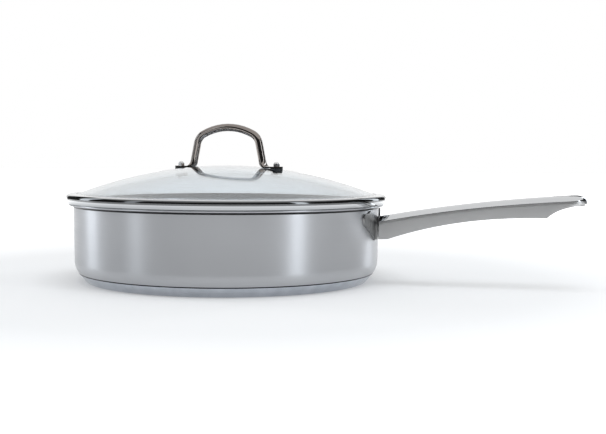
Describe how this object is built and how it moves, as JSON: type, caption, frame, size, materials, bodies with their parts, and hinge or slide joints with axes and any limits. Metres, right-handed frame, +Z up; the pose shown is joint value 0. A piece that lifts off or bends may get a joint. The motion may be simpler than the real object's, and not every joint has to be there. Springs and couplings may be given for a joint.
{
  "type": "saute pan with lid",
  "caption": "Stainless steel saute pan with a straight wall, sandwich base, long hollow handle and a domed glass lid with an arched handle.",
  "frame": {"origin": "centre of the underside of the base, where the pan stands on the table", "axes": "+Z up along the axis of the pan, +X from the axis along the long handle, +Y to the left of the long handle seen from above"},
  "size_m": [0.4711, 0.2946, 0.1447],
  "materials": {
    "pan_steel": "satin, brushed round the wall",
    "core_metal": "bare, enclosed",
    "cap_steel": "polished",
    "bracket_steel": "satin",
    "handle_steel": "satin sides, polished top",
    "lid_glass": "clear, polished",
    "band_steel": "polished",
    "dark_silicone": "matte",
    "lid_handle_steel": "mirror polished",
    "fastener_steel": "polished"
  },
  "bodies": {
    "pan": {"pan_body": "pan_steel", "base_core": "core_metal", "base_cap": "cap_steel", "handle_bracket": "bracket_steel", "handle_tongue": "bracket_steel", "long_handle": "handle_steel"},
    "lid": {"lid_glass": "lid_glass", "lid_band": "band_steel", "rim_seal": "dark_silicone", "lid_handle": "lid_handle_steel", "outer_gasket_left": "dark_silicone", "inner_gasket_left": "dark_silicone", "washer_left": "fastener_steel", "screw_left": "fastener_steel", "cap_nut_left": "fastener_steel", "outer_gasket_right": "dark_silicone", "inner_gasket_right": "dark_silicone", "washer_right": "fastener_steel", "screw_right": "fastener_steel", "cap_nut_right": "fastener_steel"}
  },
  "joints": [
    {"name": "lid_lift", "type": "slide", "parent": "pan", "child": "lid", "axis": [0, 0, 1], "range_m": [0, 0.15]}
  ]
}
